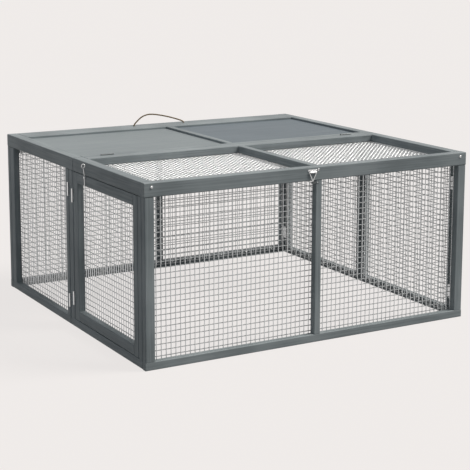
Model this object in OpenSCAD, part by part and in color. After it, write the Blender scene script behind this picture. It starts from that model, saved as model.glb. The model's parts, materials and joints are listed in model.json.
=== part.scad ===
// Outdoor rabbit run that folds flat.
// Four timber and weld-mesh walls stand under a flat top. The back half of the top is a solid
// shelter roof, hinged to the back wall. The front half is a mesh lid, hinged to the roof.
// Each end wall is two leaves that fold inwards, and the front leaf of the left end holds a door.
// Millimetres. X runs along the front, Y to the back, Z up; the origin is under the middle.

/* [Overall] */
// Width across the front, over the timber
run_w = 1050; // [1030:5:1200]
// Depth from the front face to the back face
run_d = 1000; // [900:5:1000]
// Height from the ground to the top of the lid and roof
run_h = 500; // [420:5:600]

/* [Walls] */
// Thickness of every wall frame
wall_t = 20; // [18:1:24]
// Height of the bottom rails
bottom_rail_h = 23; // [18:1:40]
// Width of the corner stiles of the front and back walls
corner_stile_w = 28; // [28:1:45]
// Width of the centre stiles of the front and back walls
centre_stile_w = 21; // [16:1:40]
// How far the centre stiles and centre bars stand to the right of the middle
centre_x = 9; // [0:1:15]
// Height of the top rail of the back wall below the tops of the stiles
back_rail_h = 24; // [20:1:40]
// Width of the end-wall stiles next to the back wall
rear_stile_w = 31; // [30:1:45]
// Width of the end-wall stiles behind the fold
fold_stile_w = 22; // [20:1:40]
// Width of the end-wall stile between the fold and the door
door_post_w = 28; // [24:1:50]
// Width of the end-wall stiles next to the front wall
front_post_w = 21; // [20:1:40]
// Radius on the long edges of every timber
edge_r = 2.5; // [0.5:0.25:3]

/* [Door] */
// Gap round the door
door_gap = 2; // [1:0.5:4]
// Width of the door stile at the hinges
door_hinge_stile_w = 32; // [24:1:45]
// Width of the door stile at the closing side
door_latch_stile_w = 27; // [20:1:45]
// Height of the top rail of the door
door_top_h = 30; // [24:1:50]
// Height of the bottom rail of the door
door_bottom_h = 29; // [20:1:50]

/* [Lid and roof] */
// Height of the side and front timbers of the lid and roof
cap_h = 38; // [34:1:45]
// Height of the lighter timbers of the lid and roof
bar_h = 22; // [20:1:26]
// How far the joint of the lid and roof lies in front of the middle
lid_setback = 34; // [0:2:60]
// Width of the front rail of the lid
lid_front_w = 27; // [20:1:40]
// Width of the side rails of the lid
lid_side_w = 33; // [24:1:45]
// Width of the back rail of the lid
lid_back_w = 37; // [30:1:60]
// Width of the centre bars of the lid and roof
centre_bar_w = 22; // [20:1:40]
// Width of the side rails of the roof
roof_side_w = 33; // [32:1:50]
// Width of the front rail of the roof
roof_front_w = 25; // [16:1:30]
// Width of the board along the back of the roof
roof_board_w = 90; // [60:5:140]
// Thickness of the board along the back of the roof
roof_board_t = 20; // [18:1:21]
// Thickness of the roof panels
panel_t = 6; // [4:0.5:7]
// How far the roof panels lie below the frame
panel_drop = 6.5; // [4:0.5:7]
// How far the roof panels run into their grooves
groove_d = 6; // [4:0.5:8]

/* [Mesh] */
// Spacing of the wires
mesh_pitch = 30; // [29:1:60]
// Thickness of the mesh
wire_t = 1.6; // [1:0.1:2]
// How far the wall mesh laps over the stiles of the end walls and door
mesh_lap = 12; // [6:1:14]

/* [Hinges] */
// Radius of the hinge knuckles
knuckle_r = 2.6; // [2.4:0.1:3.2]
// Radius of the hinge pins
pin_r = 1.4; // [1.2:0.1:1.6]
// Radial clearance of the pins
pin_fit = 0.08; // [0.05:0.01:0.1]
// Thickness of the hinge leaves
leaf_t = 1.2; // [1:0.1:1.4]
// Width of the hinge leaves
leaf_w = 15; // [10:1:16]
// Length of the hinges
hinge_len = 40; // [30:1:50]
// Depth of the upper hinges of the fold below the tops of the walls
upper_hinge_drop = 57; // [30:1:100]
// Height of the lower hinges of the fold
lower_hinge_z = 74; // [66:2:120]
// Depth of the upper hinge of the door below the tops of the walls
door_upper_hinge_drop = 71; // [30:1:110]
// Height of the lower hinge of the door
door_lower_hinge_z = 87; // [72:1:110]
// Distance of the lid and roof hinges from the middle
top_hinge_x = 417; // [300:1:430]

/* [Fastenings] */
// Distance of the lid screws from the ends of the front rail
screw_inset = 21; // [16:1:26]
// Depth of the lid screws below the top
screw_drop = 11; // [8:1:16]
// Length of the lid screws under the head
screw_len = 60; // [40:5:70]
// Radius of the wire of the hook and the bail
wire_r = 1.1; // [0.9:0.1:1.2]
// Distance of the door hook from the front face
hook_y = 376; // [300:2:400]
// Length of the door hook
hook_len = 42; // [28:1:45]
// Height of the hook's screw above the bottom of the door's top rail
hook_rise = 26; // [16:1:26]
// Width of the latch plate
latch_w = 30; // [28:1:50]
// How far the latch bail reaches below the lid
bail_reach = 1; // [0:0.5:6]

/* [Rope handle] */
// Diameter of the rope
rope_d = 5; // [4:0.5:6]
// Distance from the back face to the rope holes
rope_inset = 33; // [28:1:45]

/* [Hidden] */

paint = "#6e7577";
zinc = "#c4c8ca";
jute = "#9a7b4f";

half_w = run_w / 2;
half_d = run_d / 2;
inner_x = half_w - wall_t;
inner_y = half_d - wall_t;

cut_over = 1;                 // how far a cut runs past the solid it cuts
slide_gap = 0.5;              // running gap between the walls and the top
cap_z = run_h - cap_h;        // underside of the lid and roof
wall_top = cap_z - slide_gap;
bar_z = run_h - bar_h;        // underside of the lighter timbers

hinge_slack = 0.6;            // gap between two closed leaves
knuckle_gap = 0.2;            // gap between a knuckle and the timber
joint_gap = 2 * leaf_t + hinge_slack;
axis_out = knuckle_r + knuckle_gap;
// Height of an axis whose knuckles are seated between the two rounded edges of a joint
axis_seat = sqrt((axis_out + edge_r) ^ 2 - (joint_gap / 2 + edge_r) ^ 2) - edge_r;
knuckle_len = hinge_len / 4;  // each end knuckle
end_play = 0.3;               // gap between neighbouring knuckles

fold_x = half_w + axis_out;   // axis of the fold, outside the end walls
corner_x = inner_x - axis_out;
corner_y = inner_y - axis_out;
wall_end = inner_y - leaf_t - hinge_slack / 3;   // ends of the end walls, clear of the leaf

post_y = -joint_gap / 2 - door_post_w;           // front face of the door post
door_axis_y = post_y - joint_gap / 2;
door_back = post_y - joint_gap;
door_front = -wall_end + front_post_w + door_gap;
door_base = bottom_rail_h + door_gap;
door_top = wall_top - door_gap / 2;

lid_joint = -lid_setback;                        // joint of lid and roof
lid_back = lid_joint - joint_gap / 2;
roof_front = lid_joint + joint_gap / 2;
lid_inner_x = half_w - lid_side_w;
roof_inner_x = half_w - roof_side_w;
board_z = run_h - roof_board_t;
board_y = half_d - roof_board_w;
top_rail_z = board_z - joint_gap;                // top of the back wall's rail
panel_z = run_h - panel_drop - panel_t;
groove_fit = 0.2;

mesh_gap = 0.5;                                  // gap between the mesh and what slides by
mesh_low = bottom_rail_h - mesh_lap;
mesh_high = wall_top - mesh_gap;
corner_mesh_x = corner_x - knuckle_r - mesh_gap; // mesh edge, clear of the corner knuckles
corner_mesh_y = corner_y - axis_out - leaf_w - mesh_gap; // mesh edge, clear of the corner leaves

screw_r = 2;
screw_fit = 0.08;
screw_head_r = 3.7;
head_t = 0.8;                                    // thickness of the screw heads

hook_screw_len = axis_out + knuckle_r;           // how far the hook's screw stands out
hook_head_r = 2.4;
hook_z = door_top - door_top_h + hook_rise;
hook_axis_x = -half_w - hook_screw_len + head_t + wire_r;
hook_foot = 14;
hook_tip = 7;
bend_r = 1.1 * wire_r;                           // the latch and eye swell a little at a bend or end
eye_r = 5.2;                                     // middle radius of the eye's ring
eye_drop = 10;                                   // depth of the ring below the top
eye_tail_r = 0.9 * wire_r;                       // radius of the eye's drawn-down tail and shank
eye_shank_len = 12;                              // how far the eye is screwed into the lid

latch_x = centre_x - 22;
latch_plate_h = 5;
bail_drop = 14;                                  // depth of the bail's axis below the top
bail_z = run_h - bail_drop;
bail_spread = 12;                                // half the width of the bail at its axis
bail_play = 3.5;                                 // from the bail's legs to its knuckle, at the axis
bail_tip_z = cap_z - bail_reach;
catch_gap = 2;                                   // gap between the tip of the bail and the catch
catch_hold = 7;                                  // how far the catch lies on the centre stile
catch_h = 5;
catch_nose_w = 6;
catch_nose_out = 5.4;

// The rope handle rises steeply on the left and falls gently to the right.
rope_y = half_d - rope_inset;
knot_r = 6.5;
knot_h = 12;
rope_hole_r = rope_d / 2 + 0.8;
rope_route = [
    [-93, -20], [-93, -14], [-93, -8], [-93, -2], [-92, 4], [-87.5, 10], [-80.5, 16.5], [-73, 23],
    [-64, 29], [-53, 33.5], [-41, 36], [-28, 36.2], [-14, 34.7], [1, 32], [16, 28.8],
    [31, 25.2], [46, 21], [60, 16.8], [72, 12.8], [82, 9.2], [89, 6], [93, 1.8], [94, -3.5],
    [94, -9], [94, -14.5], [94, -20]
];
rope_points = [for (p = rope_route) [p.x, rope_y, run_h + p.y]];
rope_sides = 8;

// ---- shared shapes ----

// Rectangle with rounded corners, one corner at the origin
module planed_section(size) {
    translate([edge_r, 0]) square([size.x - 2 * edge_r, size.y]);
    translate([0, edge_r]) square([size.x, size.y - 2 * edge_r]);
    for (x = [edge_r, size.x - edge_r], y = [edge_r, size.y - edge_r])
        translate([x, y]) circle(r = edge_r, $fn = 24);
}

// Planed timber between two opposite corners, its long edges rounded
module timber(low, high, along) {
    size = high - low;
    translate(low) {
        if (along == "x") rotate([90, 0, 90]) linear_extrude(size.x) planed_section([size.y, size.z]);
        if (along == "y")
            translate([0, size.y, 0]) rotate([90, 0, 0])
                linear_extrude(size.y) planed_section([size.x, size.z]);
        if (along == "z") linear_extrude(size.z) planed_section([size.x, size.y]);
    }
}

// The same solid on the left and, mirrored, on the right
module both_sides() {
    children();
    mirror([1, 0, 0]) children();
}

// Number of mesh cells along a length
function cells(length) = max(1, round((length - wire_t) / mesh_pitch));

// Flat weld mesh, one corner at the origin
module weld_mesh(w, h) {
    step_x = (w - wire_t) / cells(w);
    step_y = (h - wire_t) / cells(h);
    linear_extrude(wire_t) difference() {
        square([w, h]);
        for (i = [0 : cells(w) - 1], j = [0 : cells(h) - 1])
            translate([wire_t + i * step_x, wire_t + j * step_y])
                square([step_x - wire_t, step_y - wire_t]);
    }
}

// Mesh of the front or back wall, its near face at y
module long_wall_mesh(x0, x1, y, z0, z1)
    translate([x0, y + wire_t, z0]) rotate([90, 0, 0]) weld_mesh(x1 - x0, z1 - z0);

// Mesh on the inside of an end wall, on the left
module end_wall_mesh(y0, y1, z0, z1)
    translate([-inner_x, y0, z0]) rotate([90, 0, 90]) weld_mesh(y1 - y0, z1 - z0);

// Local frame at a point: X is run, Y is face, and Z is the hinge axis
module local_frame(at, run, face) {
    axis = cross(run, face);
    multmatrix([
        [run.x, face.x, axis.x, at.x],
        [run.y, face.y, axis.y, at.y],
        [run.z, face.z, axis.z, at.z],
        [0, 0, 0, 1]
    ]) children();
}

// One half of a butt hinge round Z: the leaf runs along +X and lies at leaf_at on the Y side.
// The half with the pin has the two end knuckles, and the other has the middle one.
module hinge_half(leaf_at, pinned) {
    middle = hinge_len - 2 * knuckle_len - 2 * end_play;
    parts = pinned
        ? [for (s = [-1, 1]) [s * (hinge_len - knuckle_len) / 2, knuckle_len]]
        : [[0, middle]];
    translate([axis_out, leaf_at, -hinge_len / 2]) cube([leaf_w, leaf_t, hinge_len]);
    difference() {
        for (part = parts) translate([0, 0, part[0]]) {
            cylinder(r = knuckle_r, h = part[1], center = true, $fn = 48);
            translate([0, leaf_at, -part[1] / 2]) cube([axis_out + cut_over, leaf_t, part[1]]);
        }
        if (!pinned) cylinder(r = pin_r + pin_fit, h = hinge_len, center = true, $fn = 48);
    }
    if (pinned) cylinder(r = pin_r, h = hinge_len, center = true, $fn = 48);
}

edge_leaf = hinge_slack / 2;        // leaf inside a joint between two edges
face_leaf = axis_out - leaf_t;      // leaf on a face beside the axis

// ---- back wall ----

// Bottom rail of the front or back wall, under its stiles
module long_rail(y0) timber([-half_w, y0, 0], [half_w, y0 + wall_t, bottom_rail_h], "x");

module back_bottom_rail() color(paint) long_rail(inner_y);

module back_top_rail() color(paint) {
    tongue_x = roof_inner_x - slide_gap;
    length = half_w - corner_stile_w;
    difference() {
        timber([-length, inner_y, wall_top - back_rail_h], [length, half_d, top_rail_z], "x");
        both_sides() translate([tongue_x, inner_y - cut_over, wall_top])
            cube([length, wall_t + 2 * cut_over, cap_h]);
    }
}

module corner_stiles(y0) both_sides()
    timber([-half_w, y0, bottom_rail_h], [-half_w + corner_stile_w, y0 + wall_t, wall_top], "z");

module centre_stile(y0, top) translate([centre_x, y0, 0])
    timber([-centre_stile_w / 2, 0, bottom_rail_h], [centre_stile_w / 2, wall_t, top], "z");

module back_stiles() color(paint) corner_stiles(inner_y);

module back_centre_stile() color(paint) centre_stile(inner_y, wall_top - back_rail_h);

module back_mesh(x0, x1)
    long_wall_mesh(x0, x1, inner_y - wire_t, mesh_low, wall_top - back_rail_h + mesh_lap);

module back_mesh_left() color(zinc) back_mesh(-corner_mesh_x, centre_x - mesh_gap);

module back_mesh_right() color(zinc) back_mesh(centre_x + mesh_gap, corner_mesh_x);

// ---- roof ----

// Space that a roof panel needs in its frame
module panel_groove()
    translate([-roof_inner_x - groove_d, roof_front + roof_front_w - groove_d, panel_z - groove_fit])
        cube([2 * (roof_inner_x + groove_d), board_y - roof_front - roof_front_w + 2 * groove_d,
            panel_t + 2 * groove_fit]);

module roof_board() color(paint) difference() {
    timber([-roof_inner_x, board_y, board_z], [roof_inner_x, half_d, run_h], "x");
    panel_groove();
    for (x = [rope_points[0].x, rope_points[len(rope_points) - 1].x])
        translate([x, rope_y, board_z - cut_over])
            cylinder(r = rope_hole_r, h = roof_board_t + 2 * cut_over, $fn = 48);
}

module roof_side_rails() color(paint) both_sides() difference() {
    timber([-half_w, roof_front, cap_z], [-roof_inner_x, half_d, run_h], "y");
    panel_groove();
}

module roof_front_rail() color(paint) difference() {
    timber([-roof_inner_x, roof_front, bar_z], [roof_inner_x, roof_front + roof_front_w, run_h], "x");
    panel_groove();
}

// Centre bar of the lid or roof between two depths
module centre_bar(y0, y1) translate([centre_x, 0, 0])
    timber([-centre_bar_w / 2, y0, bar_z], [centre_bar_w / 2, y1, run_h], "y");

module roof_centre_bar() color(paint) difference() {
    centre_bar(roof_front + roof_front_w, board_y);
    for (side = [-1, 1])
        translate([centre_x + side * (centre_bar_w - groove_d) / 2, 0, panel_z + panel_t / 2])
            cube([groove_d, run_d, panel_t + 2 * groove_fit], center = true);
}

// Roof panel between two frame edges, run into the grooves on all four sides
module roof_panel(x0, x1) {
    reach = groove_d - groove_fit;
    y0 = roof_front + roof_front_w;
    translate([x0 - reach, y0 - reach, panel_z])
        cube([x1 - x0 + 2 * reach, board_y - y0 + 2 * reach, panel_t]);
}

module roof_panel_left() color(paint) roof_panel(-roof_inner_x, centre_x - centre_bar_w / 2);

module roof_panel_right() color(paint) roof_panel(centre_x + centre_bar_w / 2, roof_inner_x);

// Tube swept along the rope's points, square to the route at each one
module rope_handle() color(jute) {
    n = len(rope_points);
    tangents = [for (i = [0 : n - 1])
        let (d = rope_points[min(i + 1, n - 1)] - rope_points[max(i - 1, 0)]) d / norm(d)];
    across = [0, 1, 0];
    rings = [for (i = [0 : n - 1], k = [0 : rope_sides - 1])
        let (a = 360 * (k + 0.5) / rope_sides, normal = cross(tangents[i], across))
            rope_points[i] + rope_d / 2 * (cos(a) * across + sin(a) * normal)];
    sides = [for (i = [0 : n - 2], k = [0 : rope_sides - 1])
        let (a = i * rope_sides + k, b = i * rope_sides + (k + 1) % rope_sides)
            each [[a, b, b + rope_sides], [a, b + rope_sides, a + rope_sides]]];
    first = [for (k = [1 : rope_sides - 2]) [0, k + 1, k]];
    last = [for (k = [1 : rope_sides - 2]) [0, k, k + 1] + [1, 1, 1] * (n - 1) * rope_sides];
    polyhedron(points = rings, faces = concat(sides, first, last));
}

// Overhand knots that stop the rope under the board
module rope_knots() color(jute)
    for (p = [rope_points[0], rope_points[len(rope_points) - 1]])
        translate([p.x, p.y, p.z - knot_h]) rotate_extrude($fn = 48)
            intersection() {
                translate([0, knot_h / 2]) circle(r = knot_r, $fn = 48);
                square([knot_r, knot_h]);
            }

// ---- lid ----

module screw_places() both_sides()
    translate([-half_w + screw_inset, -half_d, run_h - screw_drop]) rotate([-90, 0, 0]) children();

module screw_bores() screw_places()
    translate([0, 0, -cut_over])
        cylinder(r = screw_r + screw_fit, h = screw_len + 2 * cut_over, $fn = 32);

module lid_front_rail() color(paint) difference() {
    timber([-half_w, -half_d, cap_z], [half_w, -half_d + lid_front_w, run_h], "x");
    screw_bores();
}

module lid_side_rails() color(paint) difference() {
    both_sides() timber([-half_w, -half_d + lid_front_w, cap_z], [-lid_inner_x, lid_back, run_h], "y");
    screw_bores();
    at_eye() translate([-cut_over, 0, 0]) rotate([0, 90, 0])
        cylinder(r = eye_tail_r + screw_fit, h = eye_shank_len + 2 * cut_over, $fn = 32);
}

module lid_back_rail() color(paint)
    timber([-lid_inner_x, lid_back - lid_back_w, bar_z], [lid_inner_x, lid_back, run_h], "x");

module lid_centre_bar() color(paint) centre_bar(-half_d + lid_front_w, lid_back - lid_back_w);

// Mesh of the lid, on the underside of its centre bar and back rail
module lid_mesh(x0, x1) {
    y0 = -half_d + lid_front_w + mesh_gap / 2;
    translate([x0, y0, bar_z - wire_t]) weld_mesh(x1 - x0, lid_back - lid_back_w / 2 - y0);
}

module lid_mesh_left() color(zinc) lid_mesh(-lid_inner_x + mesh_gap / 2, centre_x - mesh_gap / 2);

module lid_mesh_right() color(zinc) lid_mesh(centre_x + mesh_gap / 2, lid_inner_x - mesh_gap / 2);

module lid_screws() color(zinc) screw_places() {
    cylinder(r = screw_r, h = screw_len, $fn = 32);
    translate([0, 0, -head_t]) cylinder(r = screw_head_r, h = head_t, $fn = 32);
}

// A straight piece of round wire between two points
module wire(a, b, r = wire_r) {
    d = b - a;
    translate(a) rotate([0, acos(d.z / norm(d)), atan2(d.y, d.x)])
        cylinder(r = r, h = norm(d), $fn = 24);
}

// Where the screw eye enters the left side of the lid
module at_eye() translate([-half_w, hook_y - half_d, run_h - eye_drop]) children();

// Screw eye over the door hook: a ring that stands out from the lid, and a tail in line with the hook
module lid_eye() color(zinc) at_eye() {
    out = wire_r + eye_r;
    tail_end = [hook_axis_x + half_w, 0, eye_drop - cap_h + bend_r];
    translate([-out, 0, 0]) rotate([90, 0, 0]) rotate(45)
        rotate_extrude($fn = 48) translate([eye_r, 0]) rotate(90) circle(r = wire_r, $fn = 24);
    wire([-wire_r, 0, 0], [eye_shank_len, 0, 0], eye_tail_r);
    wire([-out, 0, -eye_r], tail_end, eye_tail_r);
    translate(tail_end) sphere(r = bend_r, $fn = 24);
}

// Latch on the middle of the lid's front rail: a plate with a rolled knuckle carries the bail
module latch_plate() color(zinc)
    local_frame([latch_x, -half_d - axis_out, bail_z], [0, 0, 1], [0, 1, 0]) difference() {
        union() {
            translate([axis_out, face_leaf, -latch_w / 2]) cube([latch_plate_h, leaf_t, latch_w]);
            translate([0, face_leaf, bail_play - bail_spread])
                cube([axis_out + cut_over, leaf_t, 2 * (bail_spread - bail_play)]);
            cylinder(r = knuckle_r, h = 2 * (bail_spread - bail_play), center = true, $fn = 48);
        }
        cylinder(r = wire_r + pin_fit, h = latch_w, center = true, $fn = 48);
    }

module latch_bail() color(zinc) {
    y = -half_d - axis_out;
    left = [latch_x - bail_spread, y, bail_z];
    right = [latch_x + bail_spread, y, bail_z];
    tip = [latch_x, y, bail_tip_z];
    wire(left, right);
    wire(left, tip);
    wire(right, tip);
    for (p = [left, right, tip]) translate(p) sphere(r = bend_r, $fn = 24);
}

// ---- front wall ----

module front_bottom_rail() color(paint) long_rail(-half_d);

module front_stiles() color(paint) corner_stiles(-half_d);

module front_centre_stile() color(paint) centre_stile(-half_d, wall_top);

module front_mesh_left() color(zinc)
    long_wall_mesh(-corner_mesh_x, centre_x - mesh_gap, -inner_y, mesh_low, mesh_high);

module front_mesh_right() color(zinc)
    long_wall_mesh(centre_x + mesh_gap, corner_mesh_x, -inner_y, mesh_low, mesh_high);

// Catch on the centre stile: a strip whose free end, under the tip of the bail, has a nose
module latch_catch() color(zinc)
    translate([latch_x - catch_nose_w / 2, -half_d, bail_tip_z - catch_gap - catch_h]) {
        strip_end = centre_x - centre_stile_w / 2 + edge_r + catch_hold;
        translate([0, -leaf_t, 0]) cube([strip_end - latch_x + catch_nose_w / 2, leaf_t, catch_h]);
        translate([0, -catch_nose_out, 0]) {
            cube([catch_nose_w, catch_nose_out, leaf_t]);
            cube([catch_nose_w, leaf_t, catch_h]);
        }
    }

// ---- end walls ----

module end_rail(y0, y1) timber([-half_w, y0, 0], [-inner_x, y1, bottom_rail_h], "y");

module end_stile(y0, y1) timber([-half_w, y0, bottom_rail_h], [-inner_x, y1, wall_top], "z");

rear_wall = [joint_gap / 2, wall_end];          // the rear leaf of an end wall, along Y
front_wall = [-wall_end, -joint_gap / 2];       // the front leaf of an end wall, along Y

module left_rear_rail() color(paint) end_rail(rear_wall[0], rear_wall[1]);

module left_rear_stiles() color(paint) {
    end_stile(rear_wall[0], rear_wall[0] + fold_stile_w);
    end_stile(rear_wall[1] - rear_stile_w, rear_wall[1]);
}

module left_rear_mesh() color(zinc)
    end_wall_mesh(rear_wall[0] + fold_stile_w - mesh_lap, corner_mesh_y, mesh_low, mesh_high);

module left_front_sill() color(paint) end_rail(front_wall[0], front_wall[1]);

module left_front_posts() color(paint) {
    end_stile(front_wall[0], front_wall[0] + front_post_w);
    end_stile(post_y, front_wall[1]);
}

module right_rear_rail() color(paint) mirror([1, 0, 0]) left_rear_rail();

module right_rear_stiles() color(paint) mirror([1, 0, 0]) left_rear_stiles();

module right_rear_mesh() color(zinc) mirror([1, 0, 0]) left_rear_mesh();

module right_front_rail() color(paint) mirror([1, 0, 0]) left_front_sill();

module right_front_stiles() color(paint) mirror([1, 0, 0]) {
    end_stile(front_wall[0], front_wall[0] + rear_stile_w);
    end_stile(front_wall[1] - fold_stile_w, front_wall[1]);
}

module right_front_mesh() color(zinc) mirror([1, 0, 0])
    end_wall_mesh(-corner_mesh_y, front_wall[1] - fold_stile_w + mesh_lap, mesh_low, mesh_high);

// ---- door ----

module door_rails() color(paint) {
    y0 = door_front + door_latch_stile_w;
    y1 = door_back - door_hinge_stile_w;
    timber([-half_w, y0, door_base], [-inner_x, y1, door_base + door_bottom_h], "y");
    timber([-half_w, y0, door_top - door_top_h], [-inner_x, y1, door_top], "y");
}

module door_stiles() color(paint) {
    timber([-half_w, door_front, door_base], [-inner_x, door_front + door_latch_stile_w, door_top], "z");
    timber([-half_w, door_back - door_hinge_stile_w, door_base], [-inner_x, door_back, door_top], "z");
}

module door_mesh() color(zinc)
    end_wall_mesh(door_front + door_latch_stile_w - mesh_lap, door_back - door_hinge_stile_w + mesh_lap,
        door_base + door_bottom_h - mesh_lap, door_top - door_top_h + mesh_lap);

// Round-head screw that the hook turns on
module door_hook_screw() color(zinc)
    translate([-half_w, hook_y - half_d, hook_z]) rotate([0, -90, 0]) {
        cylinder(r = pin_r, h = hook_screw_len, $fn = 48);
        translate([0, 0, hook_screw_len - head_t]) cylinder(r = hook_head_r, h = head_t, $fn = 48);
    }

// Wire hook: a ring round its screw, a shank and a turned-up end
module door_hook() color(zinc) {
    ring_r = pin_r + pin_fit + wire_r;
    y = hook_y - half_d;
    bend = hook_z - hook_len;
    translate([hook_axis_x, y, hook_z]) rotate([0, 90, 0]) difference() {
        cylinder(r = ring_r + wire_r, h = 2 * wire_r, center = true, $fn = 48);
        cylinder(r = pin_r + pin_fit, h = 4 * wire_r, center = true, $fn = 48);
    }
    wire([hook_axis_x, y, hook_z - ring_r], [hook_axis_x, y, bend]);
    wire([hook_axis_x, y, bend], [hook_axis_x, y - hook_foot, bend]);
    wire([hook_axis_x, y - hook_foot, bend], [hook_axis_x, y - hook_foot, bend + hook_tip]);
    for (p = [[y, bend], [y - hook_foot, bend], [y - hook_foot, bend + hook_tip]])
        translate([hook_axis_x, p.x, p.y]) sphere(r = wire_r, $fn = 24);
}

// ---- hinges ----

module at_top_hinges() both_sides() translate([-top_hinge_x, 0, 0]) children();

module at_fold_hinges()
    for (z = [lower_hinge_z, wall_top - upper_hinge_drop]) translate([0, 0, z]) children();

module at_door_hinges()
    for (z = [door_lower_hinge_z, wall_top - door_upper_hinge_drop]) translate([0, 0, z]) children();

roof_axis = [0, half_d + axis_out, board_z - joint_gap / 2];
lid_axis = [0, lid_joint, run_h + axis_seat];

module roof_hinge_lower() color(zinc) at_top_hinges()
    local_frame(roof_axis, [0, -1, 0], [0, 0, -1]) hinge_half(edge_leaf, true);

module roof_hinge_upper() color(zinc) at_top_hinges()
    local_frame(roof_axis, [0, -1, 0], [0, 0, 1]) hinge_half(edge_leaf, false);

module lid_hinge_rear() color(zinc) at_top_hinges()
    local_frame(lid_axis, [0, 0, -1], [0, 1, 0]) hinge_half(edge_leaf, true);

module lid_hinge_front() color(zinc) at_top_hinges()
    local_frame(lid_axis, [0, 0, -1], [0, -1, 0]) hinge_half(edge_leaf, false);

// Leaves on the back wall (dir = 1) or the front wall (dir = -1), tucked behind the end walls
module corner_leaves(dir) both_sides() at_fold_hinges()
    local_frame([-corner_x, dir * corner_y, 0], [-1, 0, 0], [0, dir, 0]) hinge_half(face_leaf, true);

// Leaf on the inside of an end wall at its back (dir = 1) or front (dir = -1) corner, on the left
module end_corner_leaf(dir) at_fold_hinges()
    local_frame([-corner_x, dir * corner_y, 0], [0, -dir, 0], [-1, 0, 0]) hinge_half(face_leaf, false);

// Leaf in the fold, on the rear half (dir = 1) or the front half (dir = -1), on the left
module fold_leaf(dir) at_fold_hinges()
    local_frame([-fold_x, 0, 0], [1, 0, 0], [0, dir, 0]) hinge_half(edge_leaf, dir > 0);

module back_corner_leaves() color(zinc) corner_leaves(1);

module front_corner_leaves() color(zinc) corner_leaves(-1);

module left_rear_leaves() color(zinc) {
    end_corner_leaf(1);
    fold_leaf(1);
}

module left_front_leaves() color(zinc) {
    end_corner_leaf(-1);
    fold_leaf(-1);
}

module right_rear_leaves() color(zinc) mirror([1, 0, 0]) left_rear_leaves();

module right_front_leaves() color(zinc) mirror([1, 0, 0]) left_front_leaves();

module door_hinge_frame() color(zinc) at_door_hinges()
    local_frame([-fold_x, door_axis_y, 0], [1, 0, 0], [0, 1, 0]) hinge_half(edge_leaf, true);

module door_hinge_door() color(zinc) at_door_hinges()
    local_frame([-fold_x, door_axis_y, 0], [1, 0, 0], [0, -1, 0]) hinge_half(edge_leaf, false);

// ---- assembly ----

back_bottom_rail();
back_top_rail();
back_stiles();
back_centre_stile();
back_mesh_left();
back_mesh_right();
roof_board();
roof_side_rails();
roof_front_rail();
roof_centre_bar();
roof_panel_left();
roof_panel_right();
rope_handle();
rope_knots();
lid_front_rail();
lid_side_rails();
lid_back_rail();
lid_centre_bar();
lid_mesh_left();
lid_mesh_right();
lid_screws();
lid_eye();
latch_plate();
latch_bail();
front_bottom_rail();
front_stiles();
front_centre_stile();
front_mesh_left();
front_mesh_right();
latch_catch();
left_rear_rail();
left_rear_stiles();
left_rear_mesh();
left_front_sill();
left_front_posts();
door_rails();
door_stiles();
door_mesh();
door_hook_screw();
door_hook();
right_rear_rail();
right_rear_stiles();
right_rear_mesh();
right_front_rail();
right_front_stiles();
right_front_mesh();
roof_hinge_lower();
roof_hinge_upper();
lid_hinge_rear();
lid_hinge_front();
back_corner_leaves();
front_corner_leaves();
left_rear_leaves();
left_front_leaves();
right_rear_leaves();
right_front_leaves();
door_hinge_frame();
door_hinge_door();
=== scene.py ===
import json
import math

import bpy
import numpy as np
from mathutils import Matrix, Vector


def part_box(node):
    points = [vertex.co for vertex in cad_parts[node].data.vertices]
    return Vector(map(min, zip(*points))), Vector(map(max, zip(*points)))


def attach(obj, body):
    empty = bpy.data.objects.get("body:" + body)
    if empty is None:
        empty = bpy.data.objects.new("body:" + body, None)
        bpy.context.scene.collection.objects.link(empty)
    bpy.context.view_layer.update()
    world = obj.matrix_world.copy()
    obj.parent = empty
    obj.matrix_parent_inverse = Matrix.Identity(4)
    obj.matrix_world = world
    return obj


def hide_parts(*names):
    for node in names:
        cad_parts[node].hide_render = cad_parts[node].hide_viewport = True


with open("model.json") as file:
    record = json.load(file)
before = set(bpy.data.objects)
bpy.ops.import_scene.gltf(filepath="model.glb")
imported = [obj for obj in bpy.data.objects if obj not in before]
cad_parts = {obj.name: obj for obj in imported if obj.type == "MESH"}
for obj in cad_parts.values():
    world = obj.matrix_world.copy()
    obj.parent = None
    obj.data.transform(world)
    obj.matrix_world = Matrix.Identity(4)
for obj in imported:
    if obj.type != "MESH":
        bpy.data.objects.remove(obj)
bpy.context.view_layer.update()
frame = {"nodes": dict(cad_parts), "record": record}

MM = 0.001


# ---------------------------------------------------------------- small helpers

def srgb(code):
    """A hex colour as the linear values that shaders take."""
    parts = [int(code[i:i + 2], 16) / 255 for i in (1, 3, 5)]
    return tuple(c / 12.92 if c <= 0.04045 else ((c + 0.055) / 1.055) ** 2.4 for c in parts) + (1.0,)


def add(tree, kind, inputs=None, **settings):
    """A new node in the tree with its settings, and each input set to a value or linked to a socket."""
    node = tree.nodes.new(kind)
    for name, value in settings.items():
        setattr(node, name, value)
    for key, value in (inputs or {}).items():
        if isinstance(value, bpy.types.NodeSocket):
            tree.links.new(value, node.inputs[key])
        else:
            node.inputs[key].default_value = value
    return node


def new_material(name):
    """An empty material with its output node and a shader to fill in."""
    material = bpy.data.materials.new(name)
    material.use_nodes = True
    tree = material.node_tree
    tree.nodes.clear()
    shader = add(tree, "ShaderNodeBsdfPrincipled")
    add(tree, "ShaderNodeOutputMaterial", {"Surface": shader.outputs["BSDF"]})
    return material, tree, shader


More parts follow.
